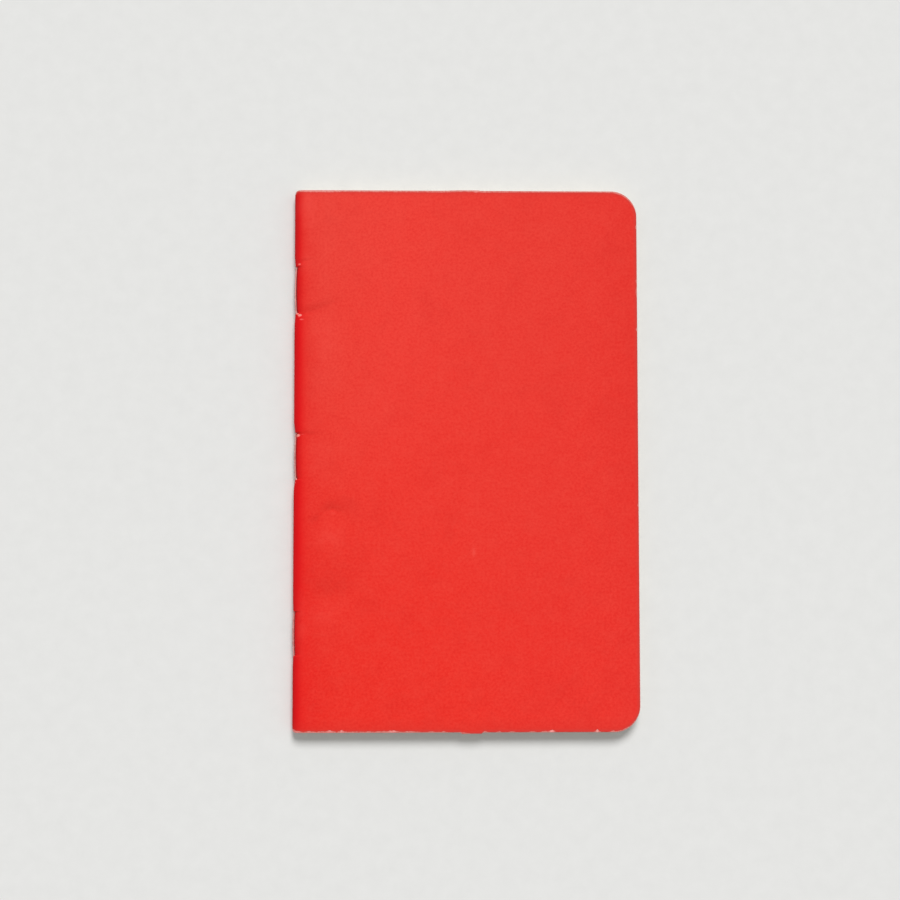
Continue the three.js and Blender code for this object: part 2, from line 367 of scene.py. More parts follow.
def painted_shading_and_speck(u, v):
    """Above 0 where the red is painted lighter, below 0 darker: mostly painted light and shade."""
    tone = np.zeros_like(u)
    for at_u, at_v, reach_u, reach_v, amount in PAINTED_SHADING_AND_SPECK:
        tone += amount * np.exp(-(((u - at_u) / reach_u) ** 2) - ((v - at_v) / reach_v) ** 2)
    return tone


def groove_shade(u, v):
    """1 where the card is pressed in under a crown; the spine between the staples has some of it."""
    shade = 0.55 * (1 - smooth(u, 0.8, 3.8)) * smooth(v, -48.0, -24.0) * (1 - smooth(v, 44.0, 58.0))
    for staple in STAPLES.values():
        ends = 1 - smooth(np.abs(v - staple.middle) - CROWN / 2, -0.3, 0.5)
        beside = 1 - smooth(u - crest(v), 0.12, 0.65)
        pressed = ends * beside * min(1.0, 0.4 + 3 * staple.depth)
        shade = np.maximum(shade * (1 - 0.85 * ends), pressed)
    return shade


# The cover's mesh

def thinned(values, least, edge):
    """Sorted values with near doubles left out, except beyond the edge zone; both ends are kept."""
    values = sorted(values)
    kept = [values[0]]
    for value in values[1:-1]:
        gap = EDGE_STEP if abs(value) > edge else least
        if value - kept[-1] >= gap and values[-1] - value >= gap:
            kept.append(value)
    return np.array(kept + [values[-1]])


def both_ends(distances):
    """Heights at some distances from the head, and at the same distances from the foot."""
    return [side * (HALF_PAGE - at) for side in (1, -1) for at in distances]


def corner_distances(steps):
    """Distances from the head at which rows follow the rounded corners; a step is 5 degrees."""
    return [FORE_RADIUS * (1 - math.cos(math.radians(5 * step))) for step in steps]


def cover_rows():
    """The heights along the spine at which the cover's mesh has a row."""
    rows = list(np.arange(-68.0, 68.01, 1.25))
    rows += both_ends(RIM_STEPS) + both_ends(corner_distances(range(1, 18)))
    for staple in STAPLES.values():
        end = CROWN / 2 - staple.covered
        rows += [staple.middle + side * (end + at) for side in (-1, 1) for at in CROWN_STEPS]
    for low, high in CREASED_HEIGHTS:
        rows += list(np.arange(low, high, 0.4))
    for at, half, _ in FORE_CHIPS:
        rows += [at + share * half for share in (-1, -0.5, 0, 0.5, 1)]
    return thinned(rows, 0.14, HALF_PAGE - EDGE_ZONE)


def cover_columns():
    """The distances from the fold line at which the flat part of the cover has a column."""
    columns = list(np.arange(FOLD_CENTRE, 15.5, 0.42)) + list(np.arange(15.5, 88.0, 1.5))
    columns += [PAGE_WIDTH - at for at in RIM_STEPS] + SPECK_COLUMNS
    for at, half, _ in FOOT_CHIPS + HEAD_CHIPS:
        columns += [at + share * half for share in (-1, -0.6, -0.2, 0.2, 0.6, 1)]
    columns = [c for c in columns if FOLD_CENTRE <= c <= PAGE_WIDTH]
    nick = [NIB_FROM, NIB_FROM + NIB_RAMP, HEAD_STEP_FROM, NIB_TO - NIB_RAMP, NIB_TO]
    columns = [c for c in columns if min(abs(c - at) for at in nick) >= 0.2] + nick
    return thinned(columns, 0.24, PAGE_WIDTH - EDGE_ZONE)


def fitted_columns(rows, columns):
    """The columns at each row: near the fore edge they are squeezed, to follow its rounded corners."""
    start = PAGE_WIDTH - FORE_RADIUS - CORNER_LEAD
    squeeze = (fore_reach(rows)[:, None] - start) / (PAGE_WIDTH - start)
    columns = columns[None, :]
    return np.where(columns > start, start + (columns - start) * squeeze, columns)


def cover_layer(rows, flat_u, inward, relief):
    """One face of the card, at a distance inwards from its outer face: its nose, then its flat part."""
    outside = inward == 0.0
    start = spine_start(rows)
    reach_in = FOLD_CENTRE - crest(rows)
    first = np.arccos(np.clip((FOLD_CENTRE - start) / (reach_in - inward), -1, 1))
    first = np.where(start > FOLD_CENTRE - reach_in + inward, first, 0.0)[:, None]
    reach_in = reach_in[:, None]
    angle = first + (math.pi / 2 - first) * np.linspace(0, 1, NOSE_STEPS + 1)[None, :-1]
    lip = lip_over_wire(rows)[:, None] * smooth(angle, 0.12, 0.26) * (1 - smooth(angle, 0.5, 1.1))
    u = np.hstack([FOLD_CENTRE - (reach_in - inward) * np.cos(angle) - lip, flat_u])
    v = np.repeat(rows[:, None], u.shape[1], axis=1)
    rise = np.hstack([np.sin(angle), np.ones_like(flat_u)])
    rim = rim_distance(u, v)
    w = (HALF_THICKNESS - inward) * rise + relief(u, v, outside) * rise**2
    if outside:
        normal_u = np.hstack([-np.cos(angle) / reach_in, np.zeros_like(flat_u)])
        normal_w = np.hstack([np.sin(angle) / HALF_THICKNESS, np.ones_like(flat_u)])
        drop = edge_drop(rim) / np.hypot(normal_u, normal_w)
        u = u - drop * normal_u
        w = w - drop * normal_w
    return u, v, w, rim


def edge_drop(rim):
    """How far the outer face draws in near a cut edge, which rounds the edge."""
    left = np.clip(EDGE_ROUND - rim, 0, EDGE_ROUND)
    return EDGE_ROUND - np.sqrt(EDGE_ROUND**2 - left**2)


def cover_mesh(name, side, relief, worn_and_shaded):
    """One half of the cover: side is 1 for the front, above the fold line, and -1 for the back."""
    rows = cover_rows()
    flat_u = fitted_columns(rows, cover_columns())
    points = []
    marks = {"rim": [], "bare": [], "scuff": [], "groove": [], "tone": []}
    for inward in (0.0, CARD):
        u, v, w, rim = cover_layer(rows, flat_u, inward, relief)
        points.append(placed(u, moved_by_nick(u, v), w * side))
        marks["rim"].append(rim.ravel())
        marks["bare"].append(bare_depth(u, v).ravel())
        marks["scuff"].append(scuff_strength(u, v).ravel() * worn_and_shaded)
        marks["groove"].append(groove_shade(u, v).ravel())
        marks["tone"].append(painted_shading_and_speck(u, v).ravel() * worn_and_shaded)
    quads, bared = closed_faces(*u.shape)
    if side < 0:
        quads = quads[:, ::-1]
    mesh = bpy.data.meshes.new(name)
    mesh.from_pydata(np.vstack(points).tolist(), [], quads.tolist())
    mesh.polygons.foreach_set("material_index", bared.astype(np.int32))
    for mark, values in marks.items():
        write_attribute(mesh, mark, np.concatenate(values))
    mesh.shade_smooth()
    mesh.set_sharp_from_angle(angle=math.radians(CARD_SHARP))
    mesh.update()
    return mesh


def closed_faces(count_v, count_u):
    """Quads of an outer grid, an inner grid and the walls between, and 1 for all but the outer ones."""
    outer = np.arange(count_v * count_u).reshape(count_v, count_u)
    inner = outer + count_v * count_u
    faces = [
        grid_quads(outer), grid_quads(inner[:, ::-1]),
        grid_quads(np.stack([inner[:, 0], outer[:, 0]], axis=1)),
        grid_quads(np.stack([outer[:, -1], inner[:, -1]], axis=1)),
        grid_quads(np.stack([inner[0], outer[0]], axis=0)),
        grid_quads(np.stack([outer[-1], inner[-1]], axis=0)),
    ]
    bared = np.concatenate([np.full(len(f), 0 if i == 0 else 1) for i, f in enumerate(faces)])
    return np.vstack(faces), bared


def grid_quads(index):
    """Quads of a grid of vertex numbers; with rows up the page and columns outwards they face up."""
    a, b = index[:-1, :-1], index[:-1, 1:]
    c, d = index[1:, 1:], index[1:, :-1]
    return np.stack([a, b, c, d], axis=-1).reshape(-1, 4)


def placed(u, v, w):
    """Millimetres from the fold line as points of the frame, in metres."""
    x, y, z = u + FOLD_LINE_X, v, w + HALF_THICKNESS
    return np.stack([x.ravel(), y.ravel(), z.ravel()], axis=1) / 1000.0


def write_attribute(mesh, name, values):
    """A number for each vertex, for the materials and the trees to read."""
    attribute = mesh.attributes.new(name, "FLOAT", "POINT")
    attribute.data.foreach_set("value", np.asarray(values, dtype=np.float32))


def shown(name, mesh, body, node):
    """A finished piece: it rides with its body and stands for its node."""
    piece = bpy.data.objects.new(name, mesh)
    bpy.context.scene.collection.objects.link(piece)
    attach(piece, body)
    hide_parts(node)


# Node trees in the making

class Network:
    """A node tree being wired: that of a material, of the world or of a shape."""

    def __init__(self, tree):
        self.tree = tree
        self.nodes = tree.nodes

    def put(self, kind):
        """A new node."""
        return self.nodes.new(kind)

    def set(self, node, **values):
        """Plain values for a node's named inputs; a low line in a name stands for a space."""
        for name, value in values.items():
            node.inputs[name.replace("_", " ")].default_value = value

    def feed(self, socket, value):
        """Gives a socket a plain value, or joins another node's output to it."""
        if isinstance(value, bpy.types.NodeSocket):
            self.tree.links.new(value, socket)
        else:
            socket.default_value = value

    def maths(self, operation, *terms, held=False):
        """One sum; each term is an output or a number, and held keeps the result from 0 to 1."""
        node = self.put("ShaderNodeMath")
        node.operation = operation
        node.use_clamp = held
        for socket, term in zip(node.inputs, terms):
            self.feed(socket, term)
        return node.outputs[0]

    def times(self, first, *others):
        """The terms multiplied together."""
        for other in others:
            first = self.maths("MULTIPLY", first, other)
        return first

    def plus(self, first, *others):
        """The terms added together."""
        for other in others:
            first = self.maths("ADD", first, other)
        return first

    def minus(self, first, second):
        """The first term less the second."""
        return self.maths("SUBTRACT", first, second)

    def ramp(self, value, low, high, to_low=0.0, to_high=1.0):
        """A value spread from one range to another, held at both ends."""
        node = self.put("ShaderNodeMapRange")
        self.feed(node.inputs["Value"], value)
        self.set(node, From_Min=low, From_Max=high, To_Min=to_low, To_Max=to_high)
        return node.outputs["Result"]

    def split(self, vector):
        """The X, Y and Z of a vector."""
        node = self.put("ShaderNodeSeparateXYZ")
        self.feed(node.inputs[0], vector)
        return node.outputs


class Finish(Network):
    """A material being wired, on coordinates that stay with the piece."""

    def __init__(self, name):
        self.material = bpy.data.materials.new(name)
        self.material.use_nodes = True
        super().__init__(self.material.node_tree)
        self.place = self.put("ShaderNodeTexCoord").outputs["Object"]

    def noise(self, scale, detail=3.0, rough=0.55, warp=0.0, stretch=None):
        """A noise pattern; scale is in patterns to the metre, and stretch draws it out along an axis."""
        place = self.place
        if stretch is not None:
            mapping = self.put("ShaderNodeMapping")
            self.feed(mapping.inputs["Vector"], place)
            self.set(mapping, Scale=stretch)
            place = mapping.outputs["Vector"]
        node = self.put("ShaderNodeTexNoise")
        self.feed(node.inputs["Vector"], place)
        self.set(node, Scale=scale, Detail=detail, Roughness=rough, Distortion=warp)
        return node.outputs["Fac"]

    def mix(self, share, first, second):
        """Two colours mixed; each is an output or display numbers. 6, 7 and 2 are colour sockets."""
        node = self.put("ShaderNodeMix")
        node.data_type = "RGBA"
        self.feed(node.inputs["Factor"], share)
        for socket, colour in ((node.inputs[6], first), (node.inputs[7], second)):
            self.feed(socket, linear(*colour) if isinstance(colour, tuple) else colour)
        return node.outputs[2]

    def tinted(self, colour, *tints):
        """A colour with tints laid over it in turn; each is a share and a colour."""
        for share, tint in tints:
            colour = self.mix(share, colour, tint)
        return colour

    def stripes(self, across, stops):
        """Colours that change with a distance; each stop is the distance and display numbers."""
        node = self.put("ShaderNodeValToRGB")
        self.feed(node.inputs["Fac"], across)
        marks = node.color_ramp.elements
        while len(marks) < len(stops):
            marks.new(1.0)
        for mark, (at, colour) in zip(marks, stops):
            mark.position = at / PAGE_WIDTH
            mark.color = linear(*colour)
        return node.outputs["Color"]

    def attribute(self, name):
        """A number that the mesh carries at each vertex."""
        node = self.put("ShaderNodeAttribute")
        node.attribute_name = name
        return node.outputs["Fac"]

    def bump(self, height, distance, strength, before=None):
        """Small heights of the surface, on top of those from before."""
        node = self.put("ShaderNodeBump")
        self.feed(node.inputs["Height"], height)
        self.set(node, Distance=distance, Strength=strength)
        if before is not None:
            self.feed(node.inputs["Normal"], before)
        return node.outputs["Normal"]

    def done(self, values):
        """The material, once each named socket of its shader has its value."""
        shader = self.nodes["Principled BSDF"]
        for name, value in values.items():
            self.feed(shader.inputs[name], value)
        return self.material


def linear(red, green, blue):
    """A colour written in display numbers from 0 to 255, as linear light with full cover."""
    def one(value):
        value /= 255.0
        return value / 12.92 if value <= 0.04045 else ((value + 0.055) / 1.055) ** 2.4
    return one(red), one(green), one(blue), 1.0


# Materials

def red_card():
    """Red card, faded, rubbed, with painted light and shade; its white core bared at edges and where
    torn.
    """
    card = Finish("red_card")
    grain = card.noise(1500.0, rough=0.7)
    fibres = card.noise(2600.0, rough=0.7)
    ragged = card.noise(2300.0, 4.0, 0.65)
    scuff = card.attribute("scuff")
    edge_core = bared_edge(card, ragged)
    torn_core = card.ramp(card.plus(scuff, card.times(ragged, 0.5)), 0.72, 0.95)
    torn_white = card.mix(card.ramp(scuff, 0.62, 1.0), (252, 88, 84), (255, 168, 156))
    colour = shaded_red(card, coated_red(card, grain, fibres))
    colour = card.tinted(colour, (edge_core, edge_white(card, ragged)), (torn_core, torn_white))
    core = card.maths("MAXIMUM", edge_core, torn_core)
    gloss = card.ramp(grain, 0.3, 0.7, 0.62, 0.8)
    tooth = card.bump(fibres, 0.00002, 0.55)
    lumps = card.bump(grain, 0.00003, 0.5, tooth)
    return card.done({
        "Base Color": colour,
        "Roughness": card.maths("MULTIPLY_ADD", core, 0.2, gloss, held=True),
        "Specular IOR Level": 0.1,
        "Normal": card.bump(card.minus(1.0, core), 0.00006, 0.8, lumps),
    })


def coated_red(card, grain, fibres):
    """The card's red coat: faded towards the head, deeper on the spine, mottled and rubbed in one speck,
    with painted shade on the spine's round and painted patches of light and shade.
    """
    x, y, _ = card.split(card.place)
    mottle = card.noise(260.0, rough=0.6)
    clouds = card.noise(38.0, 2.0, 0.5)
    blotches = card.noise(120.0, 4.0, 0.7, warp=0.4)
    across = card.ramp(x, FOLD_LINE_X / 1000, (FOLD_LINE_X + PAGE_WIDTH) / 1000)
    to_head = card.ramp(y, -0.055, 0.05)
    faded = card.maths("MULTIPLY_ADD", card.minus(clouds, 0.5), 0.7, to_head, held=True)
    colour = card.mix(faded, card.stripes(across, FOOT_REDS), card.stripes(across, HEAD_REDS))
    # The lighter grain and mottle are held back near the spine, which adds to its painted shade.
    off_spine = card.ramp(across, 0.012, 0.05, 0.2, 1.0)
    tone = card.times(card.attribute("tone"), card.ramp(mottle, 0.3, 0.65, 0.55, 1.5))
    return card.tinted(
        colour,
        (card.times(card.ramp(grain, 0.36, 0.7, 0.0, 0.22), off_spine), (241, 90, 76)),
        (card.ramp(grain, 0.55, 0.28, 0.0, 0.34), (212, 32, 28)),
        (card.times(card.ramp(mottle, 0.42, 0.7, 0.0, 0.13), off_spine), (238, 80, 66)),
        (card.ramp(blotches, 0.5, 0.3, 0.0, 0.14), (206, 36, 32)),
        (card.ramp(fibres, 0.45, 0.75, 0.0, 0.22), (204, 34, 30)),
        # Painted light and shade of the small waves, and one rubbed speck, from the tone attribute
        (card.ramp(tone, 0.0, 1.0, 0.0, 0.3), (250, 96, 84)),
        (card.ramp(tone, 0.0, -1.0, 0.0, 0.3), (196, 30, 26)),
    )


def shaded_red(card, colour):
    """The coat with painted shade at the head, foot and cut edges, and painted shadow where staples press
    it.
    """
    _, y, _ = card.split(card.place)
    at_head = card.ramp(y, 0.0682, 0.0696, 0.0, 0.3)
    at_foot = card.ramp(y, -0.066, -0.0696, 0.0, 0.32)
    groove = card.attribute("groove")
    return card.tinted(
        colour,
        # Painted shade where the card's edges round off: near the head and the foot, and along every cut
        # edge
        (card.maths("MAXIMUM", at_head, at_foot), (208, 50, 42)),
        (card.ramp(card.attribute("rim"), 1.0, 0.25, 0.0, 0.75), (206, 62, 56)),
        # Painted shadow beside the staples' crowns, and a darker band along the spine's round between
        # them
        (card.times(groove, 0.9), card.mix(card.ramp(groove, 0.5, 1.0), (228, 12, 20), (200, 4, 12))),
    )


def bared_edge(card, ragged):
    """1 where the white core shows along a cut edge, in a line that is more ragged towards the foot."""
    _, y, _ = card.split(card.place)
    patchy = card.noise(620.0, 2.0, 0.5)
    uneven = card.times(card.ramp(ragged, 0.3, 0.7, 0.75, 1.25), card.ramp(patchy, 0.35, 0.6, 0.8, 1.15))
    rough_cut = card.ramp(y, -0.02, 0.06, 1.0, 0.35)
    uneven = card.maths("MULTIPLY_ADD", card.minus(uneven, 1.0), rough_cut, 1.0)
    reach = card.times(card.attribute("bare"), uneven)
    return card.ramp(card.minus(reach, card.attribute("rim")), -0.02, 0.04)


def edge_white(card, ragged):
    """The core's colour along the edges: rubbed and stained in the thin line, and paler in the chips."""
    strands = card.ramp(ragged, 0.3, 0.7)
    rubbed = card.mix(strands, (208, 98, 90), (228, 146, 136))
    chipped = card.mix(strands, (236, 128, 124), (250, 172, 166))
    return card.mix(card.ramp(card.attribute("bare"), 0.42, 0.7), rubbed, chipped)


def white_card():
    """The card's own white: its inner face, its cut walls and its fold."""
    card = Finish("white_card")
    fibres = card.noise(900.0, 4.0, 0.65)
    clouds = card.noise(60.0, 3.0, 0.5)
    colour = card.mix(card.ramp(fibres, 0.3, 0.7), (226, 217, 204), (240, 234, 224))
    return card.done({
        "Base Color": card.mix(card.ramp(clouds, 0.4, 0.7, 0.0, 0.3), colour, (230, 219, 200)),
        "Roughness": card.ramp(fibres, 0.3, 0.7, 0.78, 0.9),
        "Specular IOR Level": 0.25,
        "Normal": card.bump(fibres, 0.00003, 0.5),
    })


def ruled_paper():
    """Cream paper with faint ruling, a cut edge streaked by the blade, and painted shade between leaves.
    """
    paper = Finish("ruled_paper")
    fibres = paper.noise(1100.0, 4.0, 0.65)
    clouds = paper.noise(45.0, 3.0, 0.5)
    streaks = paper.noise(4200.0, 2.0, 0.6, stretch=(0.05, 0.05, 1.0))
    through = paper.maths("ABSOLUTE", paper.minus(paper.attribute("inner"), 0.5))
    cut = paper.ramp(through, 0.499, 0.47)
    cut = paper.times(cut, paper.ramp(paper.attribute("turn"), 0.0, 0.05))
    colour = paper.tinted(
        paper.mix(paper.ramp(fibres, 0.3, 0.7), (235, 229, 214), (244, 240, 228)),
        (paper.ramp(clouds, 0.4, 0.7, 0.0, 0.35), (238, 230, 210)),
        (ruling(paper, fibres), (150, 170, 190)),
        (paper.times(cut, 0.5), (226, 216, 196)),
        (paper.times(cut, paper.ramp(streaks, 0.4, 0.68, 0.0, 0.55)), (186, 172, 148)),
        # Painted shade along the top and bottom of each leaf's cut edge, where it meets the next leaf
        (paper.times(cut, paper.ramp(through, 0.3, 0.48, 0.0, 0.5)), (160, 146, 122)),
    )
    return paper.done({
        "Base Color": colour,
        "Roughness": paper.ramp(fibres, 0.3, 0.7, 0.8, 0.92),
        "Specular IOR Level": 0.2,
        "Normal": paper.bump(fibres, 0.00002, 0.45),
    })


def ruling(paper, fibres):
    """How strongly the faint ruled lines show; they stop short of the head, the fold and the edge."""
    x, y, _ = paper.split(paper.place)
    pitches = paper.maths("DIVIDE", paper.plus(y, RULE_START / 1000), RULE_PITCH / 1000)
    from_line = paper.maths("ABSOLUTE", paper.minus(paper.maths("FRACT", pitches), 0.5))
    from_fold = paper.maths("ABSOLUTE", paper.plus(x, -FOLD_LINE_X / 1000))
    return paper.times(
        paper.ramp(from_line, 0.018, 0.03, 1.0, 0.0),
        paper.ramp(y, 0.0545, 0.056, 1.0, 0.0),
        paper.ramp(from_fold, 0.0045, 0.005),
        paper.ramp(x, 0.0443, 0.0445, 1.0, 0.0),
        paper.ramp(fibres, 0.35, 0.6, 0.5, 1.0),
        0.55,
    )


def staple_wire():
    """Galvanised wire with drawing marks; a painted red-card reflection on its crown; painted shade
    below.
    """
    wire = Finish("staple_wire")
    x, _, z = wire.split(wire.place)
    drawn = wire.noise(9000.0, 2.0, 0.6, stretch=(1.0, 0.08, 1.0))
    dull = wire.noise(700.0, 3.0, 0.6)
    patches = wire.ramp(dull, 0.35, 0.65)
    on_crown = wire.ramp(x, (FOLD_LINE_X + 1.2) / 1000, (FOLD_LINE_X + 0.8) / 1000)
    below = wire.ramp(z, HALF_THICKNESS / 1000 + 0.0001, HALF_THICKNESS / 1000 - 0.0001, 0.0, 0.7)
    colour = wire.tinted(
        wire.mix(patches, (214, 208, 202), (180, 172, 164)),
        # Painted reflection of the red card on the crown, where the wire lies against the fold
        (on_crown, wire.mix(patches, (226, 160, 154), (192, 124, 118))),
        # Painted shade on the wire's lower half
        (below, (110, 88, 82)),
    )
    return wire.done({
        "Base Color": colour,
        "Metallic": 0.8,
        "Roughness": wire.ramp(dull, 0.3, 0.7, 0.3, 0.5),
        "Normal": wire.bump(drawn, 0.00001, 0.35),
    })


def floor_paper():
    """Plain pale paper with a slight grain."""
    paper = Finish("floor_paper")
    grain = paper.noise(240.0, 3.0, 0.6)
    return paper.done({
        "Base Color": paper.mix(paper.ramp(grain, 0.3, 0.7), (226, 226, 224), (229, 229, 227)),
        "Roughness": 0.9,
        "Specular IOR Level": 0.1,
    })


# Shapes made by node trees

class Shape(Network):
    """A geometry tree being wired, with a mesh in, a mesh out and named inputs with starting values."""

    def __init__(self, name, inputs):
        tree = bpy.data.node_groups.new(name, "GeometryNodeTree")
        super().__init__(tree)
        kinds = {float: "NodeSocketFloat", int: "NodeSocketInt", type(None): "NodeSocketMaterial"}
        tree.interface.new_socket(name="Mesh", in_out="INPUT", socket_type="NodeSocketGeometry")
        tree.interface.new_socket(name="Mesh", in_out="OUTPUT", socket_type="NodeSocketGeometry")
        for label, value in inputs.items():
            kind = kinds[type(value)]
            socket = tree.interface.new_socket(name=label, in_out="INPUT", socket_type=kind)
            if value is not None:
                socket.default_value = value
        self.given = self.put("NodeGroupInput").outputs
        self.result = self.put("NodeGroupOutput").inputs

    def attribute(self, name):
        """A number that the starting mesh carries at each vertex."""
        node = self.put("GeometryNodeInputNamedAttribute")
        node.data_type = "FLOAT"
        self.set(node, Name=name)
        return node.outputs["Attribute"]

    def close(self, geometry):
        """The end of each tree: real faces, and their material."""
        real = self.put("GeometryNodeRealizeInstances")
        paint = self.put("GeometryNodeSetMaterial")
        self.feed(real.inputs[0], geometry)
        self.feed(paint.inputs["Geometry"], real.outputs[0])
        self.feed(paint.inputs["Material"], self.given["Finish"])
        self.feed(self.result[0], paint.outputs[0])
        return self.tree


def folded_leaf_tree():
    """Folds the trimmed sheet at the fold line: a quarter turn at the crest, then out to the edge."""
    leaf = Shape("folded_leaf", {
        "Fold radius": 0.0004, "Paper thickness": 0.0001, "Fore height": 0.0002,
        "Fold centre": 0.002845, "Fold line X": -0.04445, "Fold line Z": 0.001995,
        "Leaf length": 0.0861, "Side": 1.0, "Trim scatter": 0.00005,
        "Page wave": 0.00001, "Dip share": 0.0, "Seed": 0, "Finish": None,
    })
    given = leaf.given
    angle = leaf.times(leaf.attribute("turn"), math.pi / 2)
    inwards = leaf.times(leaf.attribute("inner"), given["Paper thickness"])
    radius = leaf.minus(given["Fold radius"], inwards)
    run = leaf.attribute("run")
    share = leaf.maths("DIVIDE", run, given["Leaf length"])
    rise = leaf.times(leaf.minus(given["Fore height"], given["Fold radius"]), share)
    here = leaf.put("GeometryNodeInputPosition").outputs[0]

    out = leaf.minus(given["Fold centre"], leaf.times(radius, leaf.maths("COSINE", angle)))
    out = leaf.plus(out, leaf.plus(run, trim_shift(leaf, share)), given["Fold line X"])
    up = leaf.plus(leaf.times(radius, leaf.maths("SINE", angle)), rise, page_wave(leaf, here, share))
    up = leaf.minus(up, leaf.times(leaf.attribute("dip"), given["Dip share"]))
    up = leaf.maths("MULTIPLY_ADD", up, given["Side"], given["Fold line Z"])
    point = leaf.put("ShaderNodeCombineXYZ")
    for socket, value in zip(point.inputs, (out, leaf.split(here)["Y"], up)):
        leaf.feed(socket, value)
    move = leaf.put("GeometryNodeSetPosition")
    leaf.feed(move.inputs["Geometry"], given["Mesh"])
    leaf.feed(move.inputs["Position"], point.outputs[0])
    return leaf.close(facing_out(leaf, move.outputs["Geometry"]))


def trim_shift(leaf, share):
    """A small random reach of the whole leaf, as an uneven trim leaves it."""
    scatter = leaf.put("FunctionNodeRandomValue")
    scatter.data_type = "FLOAT"
    scatter.inputs[2].default_value = -1.0
    scatter.inputs[3].default_value = 1.0
    leaf.set(scatter, ID=7)
    leaf.feed(scatter.inputs["Seed"], leaf.given["Seed"])
    return leaf.times(scatter.outputs[1], leaf.given["Trim scatter"], share)


def page_wave(leaf, here, share):
    """The slow waves of the page, which die out at the fold."""
    ripple = leaf.put("ShaderNodeTexNoise")
    ripple.noise_dimensions = "4D"
    leaf.set(ripple, Scale=28.0, Detail=1.0)
    leaf.feed(ripple.inputs["Vector"], here)
    leaf.feed(ripple.inputs["W"], leaf.times(leaf.given["Seed"], 0.05))
    wave = leaf.times(leaf.minus(ripple.outputs[0], 0.5), leaf.times(leaf.given["Page wave"], 2.0))
    return leaf.times(wave, leaf.maths("MINIMUM", leaf.times(share, 4.0), 1.0))


def facing_out(leaf, moved):
    """The leaf with its faces outwards: those of a leaf below the fold line are turned over."""
    turned = leaf.put("GeometryNodeFlipFaces")
    leaf.feed(turned.inputs["Mesh"], moved)
    below = leaf.put("FunctionNodeCompare")
    below.operation = "LESS_THAN"
    leaf.feed(below.inputs[0], leaf.given["Side"])
    choose = leaf.put("GeometryNodeSwitch")
    choose.input_type = "GEOMETRY"
    for socket, value in zip(choose.inputs, (below.outputs[0], moved, turned.outputs["Mesh"])):
        leaf.feed(socket, value)
    return choose.outputs[0]


def bent_wire_tree():
    """Rounds the corners of a staple's line, bows its crown and gives the line the wire's thickness."""
    wire = Shape("bent_wire", {
        "Wire radius": 0.00025, "Bend radius": 0.0003, "Crown middle": 0.0, "Crown reach": 0.0057,
        "Crown bow": 0.0, "Crown depth": 0.0, "Finish": None,
    })
    given = wire.given
    line = wire.put("GeometryNodeMeshToCurve")
    wire.feed(line.inputs["Mesh"], given["Mesh"])
    fillet = wire.put("GeometryNodeFilletCurve")
    fillet.mode = "POLY"
    wire.set(fillet, Count=7)
    wire.feed(fillet.inputs["Curve"], line.outputs["Curve"])
    wire.feed(fillet.inputs["Radius"], given["Bend radius"])
    even = wire.put("GeometryNodeResampleCurve")
    even.mode = "LENGTH"
    wire.set(even, Length=0.00012)
    wire.feed(even.inputs["Curve"], fillet.outputs["Curve"])
    move = wire.put("GeometryNodeSetPosition")
    wire.feed(move.inputs["Geometry"], even.outputs["Curve"])
    wire.feed(move.inputs["Offset"], crown_bow(wire))

    ring = wire.put("GeometryNodeCurvePrimitiveCircle")
    wire.set(ring, Resolution=16)
    wire.feed(ring.inputs["Radius"], given["Wire radius"])
    tube = wire.put("GeometryNodeCurveToMesh")
    wire.set(tube, Fill_Caps=True)
    wire.feed(tube.inputs["Curve"], move.outputs["Geometry"])
    wire.feed(tube.inputs["Profile Curve"], ring.outputs["Curve"])
    smooth_faces = wire.put("GeometryNodeSetShadeSmooth")
    wire.feed(smooth_faces.inputs[0], tube.outputs["Mesh"])
    return wire.close(smooth_faces.outputs[0])


def crown_bow(wire):
    """How the crown's middle stands out from its ends; the legs and points stay where they are."""
    given = wire.given
    x, y, _ = wire.split(wire.put("GeometryNodeInputPosition").outputs[0])
    along = wire.maths("DIVIDE", wire.minus(y, given["Crown middle"]), given["Crown reach"])
    open_share = wire.maths("MAXIMUM", wire.minus(1.0, wire.times(along, along)), 0.0)
    on_crown = wire.maths("LESS_THAN", x, wire.plus(given["Crown depth"], 0.0004))
    offset = wire.put("ShaderNodeCombineXYZ")
    wire.feed(offset.inputs["X"], wire.times(open_share, given["Crown bow"], on_crown, -1.0))
    return offset.outputs[0]


def grown(name, start, tree, values):
    """The mesh that a tree makes of a starting mesh, as a plain mesh."""
    maker = bpy.data.objects.new(name, start)
    bpy.context.scene.collection.objects.link(maker)
    modifier = maker.modifiers.new(tree.name, "NODES")
    modifier.node_group = tree
    for item in tree.interface.items_tree:
        if item.item_type == "SOCKET" and item.in_out == "INPUT" and item.name in values:
            modifier[item.identifier] = values[item.name]
    evaluated = maker.evaluated_get(bpy.context.evaluated_depsgraph_get())
    mesh = bpy.data.meshes.new_from_object(evaluated)
    bpy.data.objects.remove(maker)
    mesh.name = name
    return mesh


# The leaves

